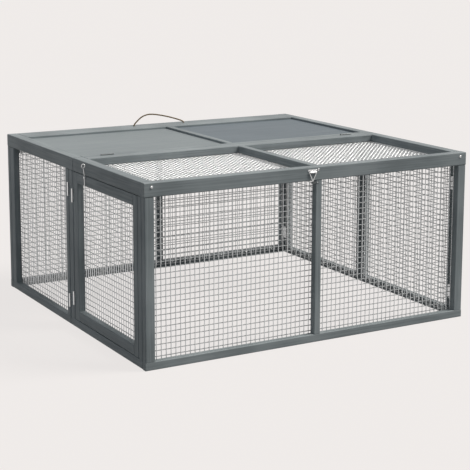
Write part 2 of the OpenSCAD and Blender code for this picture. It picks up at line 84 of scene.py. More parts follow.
def mesh_object(name, vertices, faces, smooth=True):
    """A mesh from its points and faces, in metres, as an object at the origin."""
    mesh = bpy.data.meshes.new(name)
    mesh.from_pydata([tuple(v) for v in vertices], [], faces)
    mesh.validate()
    mesh.polygons.foreach_set("use_smooth", [smooth] * len(mesh.polygons))
    obj = bpy.data.objects.new(name, mesh)
    bpy.context.scene.collection.objects.link(obj)
    return obj


# ---------------------------------------------------------------- materials

# Planed softwood under one brushed coat of grey garden paint. The paint hides the colour of the wood
# but sinks into it, so the eye sees a soft satin surface with faint streaks along the grain,
# a few darker pores, and a slow change of tone from board to board.
PAINT_LIGHT = "#8d9598"
PAINT_DARK = "#71797c"
PAINT_PORE = "#565e61"


def painted_timber(name, along, light=PAINT_LIGHT, dark=PAINT_DARK, streak=1.0):
    material, tree, shader = new_material(name)
    place = add(tree, "ShaderNodeTexCoord").outputs["Object"]

    # Streaks are 5 mm wide and 200 mm long. Real growth rings are finer, and would not show.
    across_grain, along_grain = 1 / (5 * MM), 1 / (200 * MM)
    scale = Vector([along_grain if axis == along else across_grain for axis in "xyz"])
    grain_place = add(tree, "ShaderNodeMapping", {"Vector": place, "Scale": scale}).outputs[0]
    grain = add(tree, "ShaderNodeTexNoise",
                {"Vector": grain_place, "Scale": 1.0, "Detail": 5.0, "Roughness": 0.6, "Distortion": 0.4})
    # Pores are 1.5 mm wide slits, 40 mm long
    pore_scale = Vector([1 / (40 * MM) if axis == along else 1 / (1.5 * MM) for axis in "xyz"])
    pore_place = add(tree, "ShaderNodeMapping", {"Vector": place, "Scale": pore_scale}).outputs[0]
    pores = add(tree, "ShaderNodeTexNoise",
                {"Vector": pore_place, "Scale": 1.0, "Detail": 3.0, "Roughness": 0.7})
    # The coat is a little thicker in some places than in others, over about 150 mm
    coat = add(tree, "ShaderNodeTexNoise", {"Vector": place, "Scale": 1 / (150 * MM), "Detail": 2.0})

    mix = add(tree, "ShaderNodeMath", {0: grain.outputs["Fac"], 1: coat.outputs["Fac"]}, operation="ADD")
    spread = add(tree, "ShaderNodeMapRange",
                 {"Value": mix.outputs[0], "From Min": 0.75, "From Max": 1.25,
                  "To Min": 0.5 - 0.5 * streak, "To Max": 0.5 + 0.5 * streak})
    paint = add(tree, "ShaderNodeMix",
                {"Factor": spread.outputs[0], 6: srgb(dark), 7: srgb(light)}, data_type="RGBA")
    slit = add(tree, "ShaderNodeMapRange",
               {"Value": pores.outputs["Fac"], "From Min": 0.36, "From Max": 0.28,
                "To Min": 0.0, "To Max": 0.45})
    worn = add(tree, "ShaderNodeMix",
               {"Factor": slit.outputs[0], 6: paint.outputs[2], 7: srgb(PAINT_PORE)}, data_type="RGBA")
    tree.links.new(worn.outputs[2], shader.inputs["Base Color"])

    rough = add(tree, "ShaderNodeMapRange",
                {"Value": grain.outputs["Fac"], "From Min": 0.3, "From Max": 0.7,
                 "To Min": 0.62, "To Max": 0.5})
    tree.links.new(rough.outputs[0], shader.inputs["Roughness"])
    height = add(tree, "ShaderNodeMath",
                 {0: grain.outputs["Fac"], 1: slit.outputs[0]}, operation="SUBTRACT")
    bump = add(tree, "ShaderNodeBump",
               {"Height": height.outputs[0], "Strength": 0.35, "Distance": 0.4 * MM})
    tree.links.new(bump.outputs[0], shader.inputs["Normal"])
    shader.inputs["IOR"].default_value = 1.5
    shader.inputs["Specular IOR Level"].default_value = 0.3
    return material


# Mild steel strip and wire, plated with bright zinc in a bath: pale bluish metal with a soft shine,
# clouded by finger marks and by the first dull bloom of weathering. The hinges in the top and the catch
# get a dark copy of it, darker than the paint and nearly as dull.
def zinc_plate(name, dull, bright, metallic):
    material, tree, shader = new_material(name)
    place = add(tree, "ShaderNodeTexCoord").outputs["Object"]
    cloud = add(tree, "ShaderNodeTexNoise",
                {"Vector": place, "Scale": 1 / (6 * MM), "Detail": 4.0, "Roughness": 0.6})
    tint = add(tree, "ShaderNodeMix",
               {"Factor": cloud.outputs["Fac"], 6: srgb(dull), 7: srgb(bright)}, data_type="RGBA")
    rough = add(tree, "ShaderNodeMapRange",
                {"Value": cloud.outputs["Fac"], "From Min": 0.3, "From Max": 0.7,
                 "To Min": 0.42, "To Max": 0.24})
    tree.links.new(tint.outputs[2], shader.inputs["Base Color"])
    tree.links.new(rough.outputs[0], shader.inputs["Roughness"])
    shader.inputs["Metallic"].default_value = metallic
    return material


# The colour of the painted shade on the level wires
LEVEL_WIRE_SHADE = "#43484a"


# Welded mesh, galvanised after welding: a satin zinc skin with small bright and dull patches.
# In the walls the level wires get painted shade above and below, where their faces turn up or down,
# so that the eye reads dark level lines and pale upright ones. The lid's wires get none of this
# painted shade, and stay pale all round.
def galvanised_wire(name, dull, bright, metallic, level_shade):
    material, tree, shader = new_material(name)
    coordinates = add(tree, "ShaderNodeTexCoord").outputs
    place = coordinates["Object"]
    patch = add(tree, "ShaderNodeTexNoise",
                {"Vector": place, "Scale": 1 / (4 * MM), "Detail": 3.0, "Roughness": 0.65})
    skin = add(tree, "ShaderNodeMix",
               {"Factor": patch.outputs["Fac"], 6: srgb(dull), 7: srgb(bright)}, data_type="RGBA")
    facing = add(tree, "ShaderNodeSeparateXYZ", {0: coordinates["Normal"]})
    level = add(tree, "ShaderNodeMath", {0: facing.outputs["Z"]}, operation="ABSOLUTE")
    # Painted shade: faces that turn up or down, as on the level wires, go darker by up to the given share
    level_shade_mask = add(tree, "ShaderNodeMapRange",
               {"Value": level.outputs[0], "From Min": 0.15, "From Max": 0.6,
                "To Min": 0.0, "To Max": level_shade})
    tint = add(tree, "ShaderNodeMix",
               {"Factor": level_shade_mask.outputs[0], 6: skin.outputs[2], 7: srgb(LEVEL_WIRE_SHADE)}, data_type="RGBA")
    rough = add(tree, "ShaderNodeMapRange",
                {"Value": patch.outputs["Fac"], "From Min": 0.3, "From Max": 0.7,
                 "To Min": 0.55, "To Max": 0.35})
    tree.links.new(tint.outputs[2], shader.inputs["Base Color"])
    tree.links.new(rough.outputs[0], shader.inputs["Roughness"])
    shader.inputs["Metallic"].default_value = metallic
    return material


# Three-strand jute rope: dry, dull fibres in pale straw and brown, which run along each strand.
def jute_fibre(name):
    material, tree, shader = new_material(name)
    # The piece's UV map has the way along the strand in U and the way round it in V, both in metres
    uv = add(tree, "ShaderNodeUVMap", uv_map="strand").outputs[0]
    # Fibres are drawn 0.4 mm wide and 6 mm long. Real ones are 0.02 mm, too fine to show.
    fibre_place = add(tree, "ShaderNodeMapping",
                      {"Vector": uv, "Scale": Vector((1 / (6 * MM), 1 / (0.4 * MM), 1))}).outputs[0]
    fibre = add(tree, "ShaderNodeTexNoise",
                {"Vector": fibre_place, "Scale": 1.0, "Detail": 4.0, "Roughness": 0.7})
    tone = add(tree, "ShaderNodeMix",
               {"Factor": fibre.outputs["Fac"], 6: srgb("#4c3d29"), 7: srgb("#957d58")}, data_type="RGBA")
    bump = add(tree, "ShaderNodeBump",
               {"Height": fibre.outputs["Fac"], "Strength": 0.8, "Distance": 0.25 * MM})
    tree.links.new(tone.outputs[2], shader.inputs["Base Color"])
    tree.links.new(bump.outputs[0], shader.inputs["Normal"])
    shader.inputs["Roughness"].default_value = 0.92
    shader.inputs["Sheen Weight"].default_value = 0.25
    shader.inputs["Sheen Roughness"].default_value = 0.6
    return material


TIMBER = {axis: painted_timber(f"softwood_brushed_grey_paint_grain_{axis}", axis) for axis in "xyz"}
# Plywood takes the rolled paint more evenly than softwood does, so its streaks are half as strong.
# The right panel is painted darker and a little bluer than the left one: a painted reflection of a darker
# wall in shade.
PANEL = {"left": painted_timber("plywood_rolled_grey_paint", "x", "#868e91", "#7a8285", streak=0.5),
         "right": painted_timber("plywood_rolled_grey_paint_painted_reflection", "x", "#69737a", "#5f6970", streak=0.5)}
ZINC = zinc_plate("steel_bright_zinc_plated", "#c8cbcd", "#eeefef", 1.0)
DULL_ZINC = zinc_plate("steel_zinc_plated_dark_dull", "#3d4345", "#6c7274", 0.3)
# Lighter and darker copies of one wire: the walls get a darker one, painted shade. The mesh of the left end
# is the brightest in the photo, so it gets a paler one, painted light, and so does the lid.
WALL_WIRE = galvanised_wire("steel_wire_galvanised_walls_painted_shade", "#babec0", "#dfe2e3", 0.85, 0.92)
LEFT_WIRE = galvanised_wire("steel_wire_galvanised_after_welding", "#d2d6d8", "#f0f2f3", 0.85, 0.92)
LID_WIRE = galvanised_wire("steel_wire_galvanised_lid_painted_light", "#cdd1d3", "#e8ebec", 0.85, 0.0)
WIRE_ON = {"lid": LID_WIRE, "left_rear": LEFT_WIRE, "door": LEFT_WIRE}
JUTE = jute_fibre("jute_rope_three_strand_laid")


# ---------------------------------------------------------------- camera, floor and light

# Fitted to the corners of the frame: lengths in pixels of the 470 pixel picture, angles in degrees, and
# the camera's place in metres
IMAGE_PX, FOCAL_PX, SHIFT_PX = 470, 1321.7, -70
YAW, PITCH, ROLL = 29.822, 9.65, 0.135
CAMERA_AT = Vector((-1.9733, -3.4921, 1.1127))
SENSOR_MM = 36.0


def place_camera():
    yaw, pitch, roll = (math.radians(a) for a in (YAW, PITCH, ROLL))
    look = Vector((math.sin(yaw) * math.cos(pitch), math.cos(yaw) * math.cos(pitch), -math.sin(pitch)))
    right = Vector((math.cos(yaw), -math.sin(yaw), 0))
    up = right.cross(look)
    right, up = (right * math.cos(roll) + up * math.sin(roll),
                 up * math.cos(roll) - right * math.sin(roll))
    data = bpy.data.cameras.new("camera")
    data.sensor_width = SENSOR_MM
    data.lens = FOCAL_PX / IMAGE_PX * SENSOR_MM
    data.shift_y = SHIFT_PX / IMAGE_PX
    data.clip_start, data.clip_end = 0.05, 200
    camera = bpy.data.objects.new("camera", data)
    turn = Matrix((right, up, -look)).transposed().to_4x4()
    camera.matrix_world = Matrix.Translation(CAMERA_AT) @ turn
    bpy.context.scene.collection.objects.link(camera)
    bpy.context.scene.camera = camera


def seen_ray(tree):
    """1 for the rays that look at the scene, from the camera or off metal, and 0 for those that light it."""
    path = add(tree, "ShaderNodeLightPath").outputs
    either = add(tree, "ShaderNodeMath", {0: path["Is Camera Ray"], 1: path["Is Glossy Ray"]},
                 operation="MAXIMUM")
    return add(tree, "ShaderNodeMath",
               {0: either.outputs[0], 1: path["Is Transmission Ray"]}, operation="MAXIMUM").outputs[0]


BACKDROP = "#efebe9"
PAVING_LIGHT, PAVING_DARK = "#efeceb", "#ebe7e5"
PAVING_BOUNCE = "#767575"   # what it throws back at the run
FLOOR_GLOW_SHARE = 0.9   # how much of the floor's paleness is its own


# Pale stone paving, drawn plain. It throws little light up, as paving in the open does under a low box,
# and most of its paleness is its own, so that shadows on it stay soft and light.
def pale_paving():
    material, tree, shader = new_material("stone_paving_pale")
    place = add(tree, "ShaderNodeTexCoord").outputs["Object"]
    seen = seen_ray(tree)
    cloud = add(tree, "ShaderNodeTexNoise", {"Vector": place, "Scale": 1 / (700 * MM), "Detail": 3.0})
    tint = add(tree, "ShaderNodeMix",
               {"Factor": cloud.outputs["Fac"], 6: srgb(PAVING_DARK), 7: srgb(PAVING_LIGHT)},
               data_type="RGBA")
    both = add(tree, "ShaderNodeMix",
               {"Factor": seen, 6: srgb(PAVING_BOUNCE), 7: tint.outputs[2]}, data_type="RGBA")
    tree.links.new(both.outputs[2], shader.inputs["Base Color"])
    shader.inputs["Roughness"].default_value = 0.9
    shader.inputs["Specular IOR Level"].default_value = 0.0
    glow = add(tree, "ShaderNodeEmission", {"Color": srgb(BACKDROP), "Strength": 1.0})
    share = add(tree, "ShaderNodeMath", {0: seen, 1: FLOOR_GLOW_SHARE}, operation="MULTIPLY")
    mix = add(tree, "ShaderNodeMixShader", {0: share.outputs[0], 1: shader.outputs[0], 2: glow.outputs[0]})
    for output in [n for n in tree.nodes if n.type == "OUTPUT_MATERIAL"]:
        tree.links.new(mix.outputs[0], output.inputs["Surface"])
    return material


FLOOR_REACH = 40   # metres from the middle to the floor's edge, out of sight
SUN_FROM = Vector((0.75, -0.4, 1.0))   # from the right, a little in front and well above
SUN_STRENGTH, SUN_SPREAD, SUN_COLOUR = 3.4, math.radians(24), "#fffaf3"
SKY_STRENGTH, SKY_COLOUR = 0.34, "#dde6ee"


def set_stage():
    corners = [(x * FLOOR_REACH, y * FLOOR_REACH, 0) for x, y in ((-1, -1), (1, -1), (1, 1), (-1, 1))]
    floor = mesh_object("floor", corners, [(0, 1, 2, 3)], smooth=False)
    floor.data.materials.append(pale_paving())

    sun = bpy.data.lights.new("softbox_right", "SUN")
    sun.energy = SUN_STRENGTH
    sun.angle = SUN_SPREAD
    sun.color = srgb(SUN_COLOUR)[:3]
    lamp = bpy.data.objects.new("softbox_right", sun)
    lamp.rotation_mode = "QUATERNION"
    lamp.rotation_quaternion = SUN_FROM.to_track_quat("Z", "Y")
    bpy.context.scene.collection.objects.link(lamp)

    world = bpy.data.worlds.new("studio")
    world.use_nodes = True
    tree = world.node_tree
    tree.nodes.clear()
    fill = add(tree, "ShaderNodeBackground", {"Color": srgb(SKY_COLOUR), "Strength": SKY_STRENGTH})
    backdrop = add(tree, "ShaderNodeBackground", {"Color": srgb(BACKDROP), "Strength": 1.0})
    either = add(tree, "ShaderNodeMixShader", {0: seen_ray(tree), 1: fill.outputs[0], 2: backdrop.outputs[0]})
    add(tree, "ShaderNodeOutputWorld", {"Surface": either.outputs[0]})
    bpy.context.scene.world = world
    bpy.context.scene.view_settings.view_transform = "Standard"


place_camera()
set_stage()


# ---------------------------------------------------------------- rope handle

# All in mm. Three strands touch each other round the rope's middle, and go round it once in each lay.
ROPE_D = 5.0
STRAND_R = ROPE_D / 2 / (1 + 2 / math.sqrt(3))
STRAND_OUT = STRAND_R * 2 / math.sqrt(3)
LAY = 17.0
STRAND_SWELL, SWELL_WAVES = 0.05, (3.1, 7.3)
ROPE_STEP = 1.2
KNOT_SPREAD, KNOT_DEPTH, KNOT_DROP, KNOT_POINTS = 1.55, 2.5, 5.2, 96
# Where the rope goes, as mm along X and mm above the top
ROPE_ROUTE = [
    (-93, -20), (-93, -14), (-93, -8), (-93, -2), (-92, 4), (-87.5, 10), (-80.5, 16.5), (-73, 23),
    (-64, 29), (-53, 33.5), (-41, 36), (-28, 36.2), (-14, 34.7), (1, 32), (16, 28.8), (31, 25.2),
    (46, 21), (60, 16.8), (72, 12.8), (82, 9.2), (89, 6), (93, 1.8), (94, -3.5), (94, -9), (94, -14.5),
    (94, -20)]


def smooth_line(points, step):
    """Points about a step apart on a smooth curve through the given ones."""
    p = np.asarray(points, float)
    p = np.vstack([2 * p[0] - p[1], p, 2 * p[-1] - p[-2]])
    out = []
    for a, b, c, d in zip(p[:-3], p[1:-2], p[2:-1], p[3:]):
        n = max(2, int(np.linalg.norm(c - b) / step))
        for t in np.arange(n) / n:
            out.append(0.5 * ((2 * b) + (c - a) * t + (2 * a - 5 * b + 4 * c - d) * t * t
                              + (3 * b - a - 3 * c + d) * t ** 3))
    out.append(p[-2])
    return np.array(out)


def frames_along(line):
    """The way forward and two ways across at each point, turned as little as can be."""
    ahead = np.gradient(line, axis=0)
    ahead /= np.linalg.norm(ahead, axis=1)[:, None]
    side = np.cross(ahead[0], [0.3, 0.9, 0.1])   # any direction that the line doesn't take
    sides = []
    for t in ahead:
        side = side - t * side.dot(t)
        side /= np.linalg.norm(side)
        sides.append(side)
    sides = np.array(sides)
    return ahead, sides, np.cross(ahead, sides)


def tube(line, radius, sides=10):
    """Vertices, faces and the way along and round each face of a round tube along a line, in mm."""
    _, u, v = frames_along(line)
    n = len(line)
    angle = np.arange(sides) * 2 * math.pi / sides
    radius = np.broadcast_to(radius, n)
    rings = line[:, None] + radius[:, None, None] * (
        np.cos(angle)[None, :, None] * u[:, None] + np.sin(angle)[None, :, None] * v[:, None])
    along = np.concatenate([[0], np.cumsum(np.linalg.norm(np.diff(line, axis=0), axis=1))])
    faces, uvs = [], []
    for i in range(n - 1):
        near, far = i * sides, (i + 1) * sides
        for k in range(sides):
            m = (k + 1) % sides
            faces.append((near + k, far + k, far + m, near + m))
            a0, a1 = (q / sides * 2 * math.pi * radius[i] for q in (k, k + 1))
            uvs += [(along[i], a0), (along[i + 1], a0), (along[i + 1], a1), (along[i], a1)]
    faces += [tuple(range(sides))[::-1], tuple((n - 1) * sides + k for k in range(sides))]
    uvs += [(0, 0)] * (2 * sides)
    return rings.reshape(-1, 3), faces, uvs


def laid_rope(name, line):
    """Three strands laid round the line, as one mesh."""
    _, u, v = frames_along(line)
    s = np.concatenate([[0], np.cumsum(np.linalg.norm(np.diff(line, axis=0), axis=1))])
    vertices, faces, uvs = [], [], []
    for strand in range(3):
        turn = 2 * math.pi * (s / LAY + strand / 3)
        centre = line + STRAND_OUT * (np.cos(turn)[:, None] * u + np.sin(turn)[:, None] * v)
        # Hand-laid jute is never quite even: each strand swells and thins a little
        fast, slow = (s / wave for wave in SWELL_WAVES)
        swell = STRAND_SWELL * np.sin(fast + 2 * strand) * np.sin(slow + strand)
        radius = STRAND_R * (1 + swell)
        points, quads, maps = tube(centre, radius)
        faces += [tuple(q + len(vertices) for q in face) for face in quads]
        vertices += [tuple(p * MM) for p in points]
        uvs += [(a * MM + strand, b * MM) for a, b in maps]
    obj = mesh_object(name, vertices, faces)
    layer = obj.data.uv_layers.new(name="strand")
    layer.data.foreach_set("uv", np.array(uvs, np.float32).ravel())
    obj.data.materials.append(JUTE)
    return obj


def make_rope():
    hole_low, hole_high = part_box("rope_handle")
    rope_y = (hole_low.y + hole_high.y) / 2 / MM
    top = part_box("roof_board")[1].z / MM
    line = smooth_line([(x, rope_y, top + z) for x, z in ROPE_ROUTE], ROPE_STEP)
    rope = laid_rope("jute_handle", line)
    knots = []
    for side, end in (("left", line[0]), ("right", line[-1])):
        # An overhand knot is a trefoil pulled tight, with a short tail below it
        t = np.linspace(0, 2 * math.pi, KNOT_POINTS + 1)[:-1]
        loop = np.stack([KNOT_SPREAD * (np.sin(t) + 2 * np.sin(2 * t)),
                         KNOT_SPREAD * (np.cos(t) - 2 * np.cos(2 * t)),
                         -KNOT_DEPTH * np.sin(3 * t)], 1)
        loop = np.vstack([loop, loop[:2]]) + end + (0, 0, -KNOT_DROP)
        knots.append(laid_rope(f"jute_knot_{side}", loop))
    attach(rope, "roof")
    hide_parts("rope_handle")
    for knot in knots:
        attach(knot, "roof")
        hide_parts("rope_knots")


make_rope()


# ---------------------------------------------------------------- welded mesh

WIRE_D = 2.5
CELL_W, CELL_H = 14.7, 16.1
WELD = 0.6   # the two layers of wire sink into each other at the welds by 40% of a wire
WANDER, WANDER_LENGTH = 1.6, 60.0   # the wires stray by up to half of this, in waves about this long


def mesh_tree():
    """Upright wires on the timber and level wires behind them, each slightly out of true."""
    tree = bpy.data.node_groups.new("welded mesh panel", "GeometryNodeTree")
    for name, kind in (("Width", "Float"), ("Height", "Float"),
                       ("Upright wires", "Int"), ("Level wires", "Int"), ("Wire diameter", "Float"),
                       ("Wander", "Float"), ("Panel place", "Vector"), ("Finish", "Material")):
        tree.interface.new_socket(name=name, in_out="INPUT", socket_type=f"NodeSocket{kind}")
    tree.interface.new_socket(name="Geometry", in_out="OUTPUT", socket_type="NodeSocketGeometry")
    given = add(tree, "NodeGroupInput").outputs
    radius = add(tree, "ShaderNodeMath", {0: given["Wire diameter"], 1: 0.5},
                 operation="MULTIPLY").outputs[0]
    layer = add(tree, "ShaderNodeMath", {0: given["Wire diameter"], 1: WELD, 2: radius},
                operation="MULTIPLY_ADD").outputs[0]

    def row_of_wires(count, first, last, far_end):
        """Wires from a row of points, each reaching to the far end."""
        points = add(tree, "GeometryNodeMeshLine",
                     {"Count": count, "Start Location": first, "Offset": last}, mode="END_POINTS")
        wire = add(tree, "GeometryNodeCurvePrimitiveLine", {"End": far_end})
        wire = add(tree, "GeometryNodeResampleCurve", {"Curve": wire.outputs[0], "Length": CELL_W * MM},
                   mode="LENGTH")
        row = add(tree, "GeometryNodeInstanceOnPoints",
                  {"Points": points.outputs[0], "Instance": wire.outputs[0]})
        return add(tree, "GeometryNodeRealizeInstances", {0: row.outputs[0]}).outputs[0]

    def vector(x=0.0, y=0.0, z=0.0):
        return add(tree, "ShaderNodeCombineXYZ", {"X": x, "Y": y, "Z": z}).outputs[0]

    right = add(tree, "ShaderNodeMath", {0: given["Width"], 1: radius}, operation="SUBTRACT").outputs[0]
    top = add(tree, "ShaderNodeMath", {0: given["Height"], 1: radius}, operation="SUBTRACT").outputs[0]
    upright = row_of_wires(given["Upright wires"], vector(radius, 0.0, radius),
                           vector(right, 0.0, radius), vector(0.0, given["Height"]))
    level = row_of_wires(given["Level wires"], vector(0.0, radius, layer), vector(0.0, top, layer),
                         vector(given["Width"]))
    wires = add(tree, "GeometryNodeJoinGeometry")
    tree.links.new(upright, wires.inputs[0])
    tree.links.new(level, wires.inputs[0])

    # One slow field moves both layers, so that the welds stay together
    here = add(tree, "GeometryNodeInputPosition").outputs[0]
    place = add(tree, "ShaderNodeVectorMath", {0: here, 1: given["Panel place"]}, operation="ADD")
    field = add(tree, "ShaderNodeTexNoise",
                {"Vector": place.outputs[0], "Scale": 1 / (WANDER_LENGTH * MM), "Detail": 1.0})
    off = add(tree, "ShaderNodeVectorMath", {0: field.outputs["Color"], 1: (0.5, 0.5, 0.5)},
              operation="SUBTRACT")
    flat = add(tree, "ShaderNodeVectorMath", {0: off.outputs[0], 1: (1, 1, 0)}, operation="MULTIPLY")
    move = add(tree, "ShaderNodeVectorMath", {0: flat.outputs[0], "Scale": given["Wander"]},
               operation="SCALE")
    bent = add(tree, "GeometryNodeSetPosition",
               {"Geometry": wires.outputs[0], "Offset": move.outputs[0]})
    section = add(tree, "GeometryNodeCurvePrimitiveCircle", {"Resolution": 6, "Radius": radius})
    solid = add(tree, "GeometryNodeCurveToMesh",
                {"Curve": bent.outputs[0], "Profile Curve": section.outputs[0], "Fill Caps": True})
    smooth = add(tree, "GeometryNodeSetShadeSmooth", {"Geometry": solid.outputs[0]})
    real = add(tree, "GeometryNodeRealizeInstances", {0: smooth.outputs[0]})
    done = add(tree, "GeometryNodeSetMaterial", {"Geometry": real.outputs[0], "Material": given["Finish"]})
    add(tree, "NodeGroupOutput", {"Geometry": done.outputs[0]})
    return tree


def run_tree(name, tree, values, start=None):
    """The plain mesh that a geometry tree makes from its values, as an object at the origin."""
    maker = bpy.data.objects.new(name + "_maker", start or bpy.data.meshes.new(name))
    bpy.context.scene.collection.objects.link(maker)
    modifier = maker.modifiers.new("tree", "NODES")
    modifier.node_group = tree
    names = {item.name: item.identifier for item in tree.interface.items_tree if item.in_out == "INPUT"}
    for key, value in values.items():
        modifier[names[key]] = value
    bpy.context.view_layer.update()
    evaluated = maker.evaluated_get(bpy.context.evaluated_depsgraph_get())
    mesh = bpy.data.meshes.new_from_object(evaluated)
    mesh.name = name
    maker.modifiers.remove(modifier)
    bpy.data.objects.remove(maker)
    obj = bpy.data.objects.new(name, mesh)
    bpy.context.scene.collection.objects.link(obj)
    return obj


# Each panel: its node, the body it is stapled to, and its three directions in the run:
# along its width, up its height, and away from the timber
X, Y, Z = Vector((1, 0, 0)), Vector((0, 1, 0)), Vector((0, 0, 1))
PANELS = [
    ("back_mesh_left", "back_wall", X, Z, -Y), ("back_mesh_right", "back_wall", X, Z, -Y),
    ("front_mesh_left", "front_wall", X, Z, Y), ("front_mesh_right", "front_wall", X, Z, Y),
    ("left_rear_mesh", "left_rear", Y, Z, X), ("door_mesh", "door", Y, Z, X),
    ("right_rear_mesh", "right_rear", Y, Z, -X), ("right_front_mesh", "right_front", Y, Z, -X),
    ("lid_mesh_left", "lid", X, Y, -Z), ("lid_mesh_right", "lid", X, Y, -Z),
]


def panel_frame(node, across, up, away):
    """The corner of a panel on the timber, and its width and height, in metres."""
    low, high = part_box(node)
    corner = Vector([high[i] if away[i] < 0 else low[i] for i in range(3)])
    return corner, (high - low).dot(across), (high - low).dot(up)


def make_panels():
    tree = mesh_tree()
    for node, body, across, up, away in PANELS:
        corner, width, height = panel_frame(node, across, up, away)
        panel = run_tree(f"wire_{node}", tree, {
            "Width": width, "Height": height, "Wire diameter": WIRE_D * MM, "Wander": WANDER * MM,
            "Upright wires": round(width / (CELL_W * MM)) + 1,
            "Level wires": round(height / (CELL_H * MM)) + 1,
            # Three times the corner's place, so that no two panels stray alike
            "Panel place": tuple(corner * 3), "Finish": WIRE_ON.get(body, WALL_WIRE)})
        turn = Matrix((across, up, away)).transposed().to_4x4()
        panel.data.transform(Matrix.Translation(corner) @ turn)
        if turn.determinant() < 0:
            panel.data.flip_normals()
        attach(panel, body)
        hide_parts(node)


make_panels()


# ---------------------------------------------------------------- staples and screw heads

def points_with_turns(name, places):
    """A mesh of loose points, each with the turn of what stands on it. Places are (point in metres, turn)."""
    mesh = bpy.data.meshes.new(name)
    mesh.from_pydata([tuple(point) for point, _ in places], [], [])
    turns = mesh.attributes.new("turn", "FLOAT_VECTOR", "POINT")
    turns.data.foreach_set("vector", np.array([tuple(turn) for _, turn in places], np.float32).ravel())
    return mesh


def standing_tree(name, extra, shape):
    """A tree that stands a shape on each point of its mesh, turned as the point says."""
    tree = bpy.data.node_groups.new(name, "GeometryNodeTree")
    tree.interface.new_socket(name="Geometry", in_out="INPUT", socket_type="NodeSocketGeometry")
    for key, kind in extra:
        tree.interface.new_socket(name=key, in_out="INPUT", socket_type=f"NodeSocket{kind}")
    tree.interface.new_socket(name="Geometry", in_out="OUTPUT", socket_type="NodeSocketGeometry")
    given = add(tree, "NodeGroupInput").outputs
    turn = add(tree, "GeometryNodeInputNamedAttribute", {"Name": "turn"}, data_type="FLOAT_VECTOR")
    turn = add(tree, "FunctionNodeEulerToRotation", {0: turn.outputs[0]})
    points = add(tree, "GeometryNodeMeshToPoints", {"Mesh": given["Geometry"]})
    each = add(tree, "GeometryNodeInstanceOnPoints",
               {"Points": points.outputs[0], "Instance": shape(tree, given), "Rotation": turn.outputs[0]})
    real = add(tree, "GeometryNodeRealizeInstances", {0: each.outputs[0]})
    done = add(tree, "GeometryNodeSetMaterial", {"Geometry": real.outputs[0], "Material": ZINC})
    add(tree, "NodeGroupOutput", {"Geometry": done.outputs[0]})
    return tree


def staple_shape(tree, given):
    """A crown along X over a wire, and two legs down into the timber."""
    half = add(tree, "ShaderNodeMath", {0: given["Crown"], 1: 0.5}, operation="MULTIPLY").outputs[0]
    near = add(tree, "ShaderNodeMath", {0: half, 1: -1.0}, operation="MULTIPLY").outputs[0]
    section = add(tree, "GeometryNodeCurvePrimitiveCircle", {"Resolution": 6, "Radius": given["Wire radius"]})
    corners = [add(tree, "ShaderNodeCombineXYZ", {"X": x, "Z": z}).outputs[0]
               for x, z in ((near, given["Leg"]), (near, 0.0), (half, 0.0), (half, given["Leg"]))]
    lines = add(tree, "GeometryNodeJoinGeometry")
    for start, end in zip(corners, corners[1:]):
        line = add(tree, "GeometryNodeCurvePrimitiveLine", {"Start": start, "End": end})
        tree.links.new(line.outputs[0], lines.inputs[0])
    solid = add(tree, "GeometryNodeCurveToMesh",
                {"Curve": lines.outputs[0], "Profile Curve": section.outputs[0], "Fill Caps": True})
    return solid.outputs[0]


def screw_head():
    """A low round head 1 mm in radius with a cross recess, facing up, as the pattern for every screw."""
    radii = (0.12, 0.3, 0.5, 0.62, 0.85, 1.0, 1.0)
    rise = (0.5, 0.5, 0.48, 0.44, 0.3, 0.08, -0.1)
    recess_middle, recess_floor, arm_reach, arm_half_width = 0.1, 0.12, 0.6, 0.13
    around, quarter = 32, 8
    step = 2 * math.pi / around
    points, faces = [(0, 0, recess_middle)], []
    for r, z in zip(radii, rise):
        for k in range(around):
            off_arm = min(k % quarter, quarter - k % quarter) * step * r
            in_recess = off_arm < arm_half_width and r < arm_reach
            points.append((r * math.cos(k * step), r * math.sin(k * step), recess_floor if in_recess else z))
    for k in range(around):
        faces.append((0, 1 + k, 1 + (k + 1) % around))
        for ring in range(len(radii) - 1):
            a, b = 1 + ring * around + k, 1 + ring * around + (k + 1) % around
            faces.append((a, a + around, b + around, b))
    last = 1 + (len(radii) - 1) * around
    faces.append(tuple(range(last + around - 1, last - 1, -1)))
    return mesh_object("screw_head_pattern", [Vector(p) for p in points], faces, False)


def screw_shape(tree, given):
    head = add(tree, "GeometryNodeObjectInfo", {"Object": given["Head"]}, transform_space="ORIGINAL")
    size = add(tree, "ShaderNodeCombineXYZ",
               {"X": given["Head radius"], "Y": given["Head radius"], "Z": given["Head radius"]})
    sized = add(tree, "GeometryNodeTransform",
                {"Geometry": head.outputs["Geometry"], "Scale": size.outputs[0]})
    return sized.outputs[0]


def turn_for(along, outwards):
    """The Euler turn that takes X to along and Z to outwards."""
    return Matrix((along, outwards.cross(along), outwards)).transposed().to_euler()


def even_steps(length, ends, spacing):
    """Places about a spacing apart between two ends set in by the same amount."""
    n = max(1, round((length - 2 * ends) / spacing))
    return [ends + i * (length - 2 * ends) / n for i in range(n + 1)]


# Which edges of each panel lie on timber: B bottom, T top, L and R the sides in the panel's own width
STAPLED = {"back_mesh_left": "BTR", "back_mesh_right": "BTL",
           "front_mesh_left": "BR", "front_mesh_right": "BL",
           "left_rear_mesh": "BLR", "door_mesh": "BTLR", "right_rear_mesh": "BLR", "right_front_mesh": "BLR",
           "lid_mesh_left": "TR", "lid_mesh_right": "TL"}
STAPLE_SPACING, STAPLE_FIRST, STAPLE_INSET = 92 * MM, 45 * MM, 7 * MM
STAPLE_CROWN, STAPLE_LEG, STAPLE_R = 9 * MM, 6 * MM, 0.55 * MM
STAPLE_SEAT = 0.6 * STAPLE_R   # the crown's middle above the wire that it presses into


